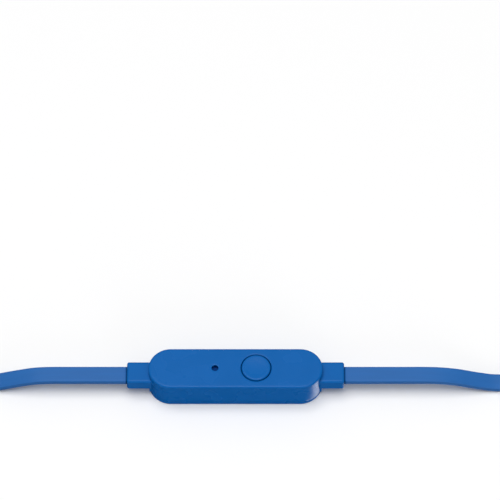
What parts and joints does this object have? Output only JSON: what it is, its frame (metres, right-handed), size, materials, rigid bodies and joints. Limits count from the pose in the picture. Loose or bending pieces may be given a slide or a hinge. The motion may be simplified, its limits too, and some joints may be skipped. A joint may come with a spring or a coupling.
{
  "type": "in-line headset remote",
  "caption": "Small rounded in-line remote with a push button and a microphone hole on a flat headset cable, each end of the cable finished with a round audio plug.",
  "frame": {"origin": "centre of the pod's back face, where it lies on the surface", "axes": "+X along the pod towards the phone plug, +Y across the pod, +Z out of the face with the button"},
  "size_m": [0.313, 0.024, 0.0083],
  "materials": {
    "shell_plastic": "blue moulded plastic, satin, with a very fine grain",
    "button_plastic": "blue moulded plastic, satin",
    "relief_rubber": "soft blue moulded elastomer",
    "cable_jacket": "matte blue elastomer with faint lengthwise lines",
    "copper_wire": "enamelled copper",
    "board_laminate": "green solder mask",
    "gold_plate": "gold plated",
    "solder": "bright solder",
    "switch_metal": "stamped stainless",
    "switch_plastic": "black moulded",
    "chip_black": "black epoxy",
    "chip_tan": "fired ceramic",
    "mic_aluminium": "drawn can",
    "mic_film": "metallised film",
    "boot_rubber": "black silicone",
    "mesh_fabric": "dark blue acoustic mesh",
    "tie_strap": "black woven strap",
    "plug_plastic": "blue moulded grip",
    "plug_metal": "nickel plated, turned",
    "plug_insulator": "black insulator"
  },
  "bodies": {
    "remote": {"upper_shell": "shell_plastic", "bottom_cover": "shell_plastic", "switch_base": "switch_plastic", "switch_terminals": "switch_metal", "switch_dome": "switch_metal", "switch_cover": "switch_metal", "circuit_board": "board_laminate", "board_pads": "gold_plate", "solder_joints": "solder", "resistors": "chip_black", "capacitors": "chip_tan", "esd_diode": "chip_black", "mic_can": "mic_aluminium", "mic_diaphragm": "mic_film", "mic_board": "board_laminate", "mic_boot": "boot_rubber", "mic_mesh": "mesh_fabric", "relief_left": "relief_rubber", "relief_right": "relief_rubber", "jacket_end_left": "cable_jacket", "jacket_end_right": "cable_jacket", "wires_left": "copper_wire", "wires_right": "copper_wire", "cord_right_lead": "cable_jacket", "cord_right_hank": "cable_jacket", "cord_right_tail": "cable_jacket", "cord_left_lead": "cable_jacket", "cord_left_hank": "cable_jacket", "cord_left_tail": "cable_jacket", "tie_right": "tie_strap", "tie_left": "tie_strap", "phone_plug_relief": "plug_plastic", "phone_plug_grip": "plug_plastic", "phone_plug_sleeve": "plug_metal", "phone_plug_lower_ring": "plug_metal", "phone_plug_upper_ring": "plug_metal", "phone_plug_tip": "plug_metal", "phone_plug_insulator": "plug_insulator", "headphone_plug_relief": "plug_plastic", "headphone_plug_grip": "plug_plastic", "headphone_plug_sleeve": "plug_metal", "headphone_plug_ring": "plug_metal", "headphone_plug_tip": "plug_metal", "headphone_plug_insulator": "plug_insulator"},
    "button": {"button_cap": "button_plastic", "switch_stem": "switch_plastic"}
  },
  "joints": [
    {"name": "button_press", "type": "slide", "parent": "remote", "child": "button", "axis": [0, 0, -1], "range_m": [0, 0.00025], "stiffness_N_per_m": 6000, "deforming": ["switch_dome"]}
  ]
}
